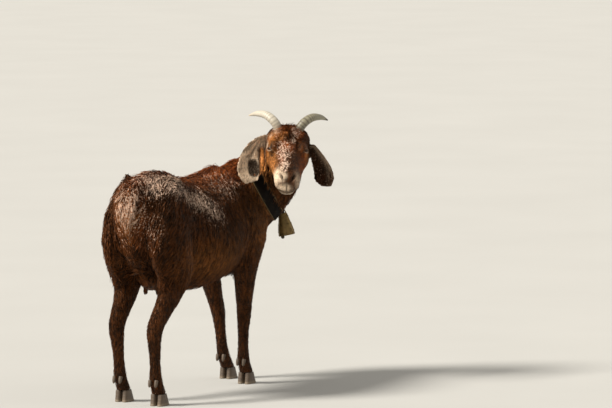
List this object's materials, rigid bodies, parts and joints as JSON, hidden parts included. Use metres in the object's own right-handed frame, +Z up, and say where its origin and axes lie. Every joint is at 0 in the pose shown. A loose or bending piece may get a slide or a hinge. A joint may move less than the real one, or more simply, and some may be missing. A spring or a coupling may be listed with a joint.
{
  "type": "goat",
  "caption": "Standing goat looking back over its shoulder, with drooping ears, short swept horns and a wide collar that carries a bell.",
  "frame": {"origin": "on the floor, under the middle of the whole animal", "axes": "+X from tail to breast, +Y to the animal's left, +Z up"},
  "size_m": [0.8194, 0.4768, 0.8197],
  "materials": {
    "hide": "short glossy reddish brown hair, longer on the back and thighs, lying over the skin",
    "horn": "cream keratin with grey growth rings, satin",
    "eye": "amber with a level dark pupil, wet gloss",
    "claw": "dark worn keratin",
    "strap": "dark worn strap leather with paler rubbed edges",
    "buckle": "dull wire",
    "bell_metal": "weathered greenish grey folded sheet"
  },
  "bodies": {
    "root": {"trunk": "hide", "neck": "hide", "head": "hide", "tail": "hide", "udder": "hide", "leg_front_left": "hide", "hoof_front_left_outer": "claw", "dewclaw_front_left_outer": "claw", "hoof_front_left_inner": "claw", "dewclaw_front_left_inner": "claw", "leg_front_right": "hide", "hoof_front_right_outer": "claw", "dewclaw_front_right_outer": "claw", "hoof_front_right_inner": "claw", "dewclaw_front_right_inner": "claw", "leg_hind_left": "hide", "hoof_hind_left_outer": "claw", "dewclaw_hind_left_outer": "claw", "hoof_hind_left_inner": "claw", "dewclaw_hind_left_inner": "claw", "leg_hind_right": "hide", "hoof_hind_right_outer": "claw", "dewclaw_hind_right_outer": "claw", "hoof_hind_right_inner": "claw", "dewclaw_hind_right_inner": "claw", "eye_left": "eye", "horn_left": "horn", "ear_left": "hide", "eye_right": "eye", "horn_right": "horn", "ear_right": "hide", "collar": "strap", "buckle": "buckle", "bell": "bell_metal", "clapper": "bell_metal", "bell_strap": "strap"}
  },
  "joints": []
}
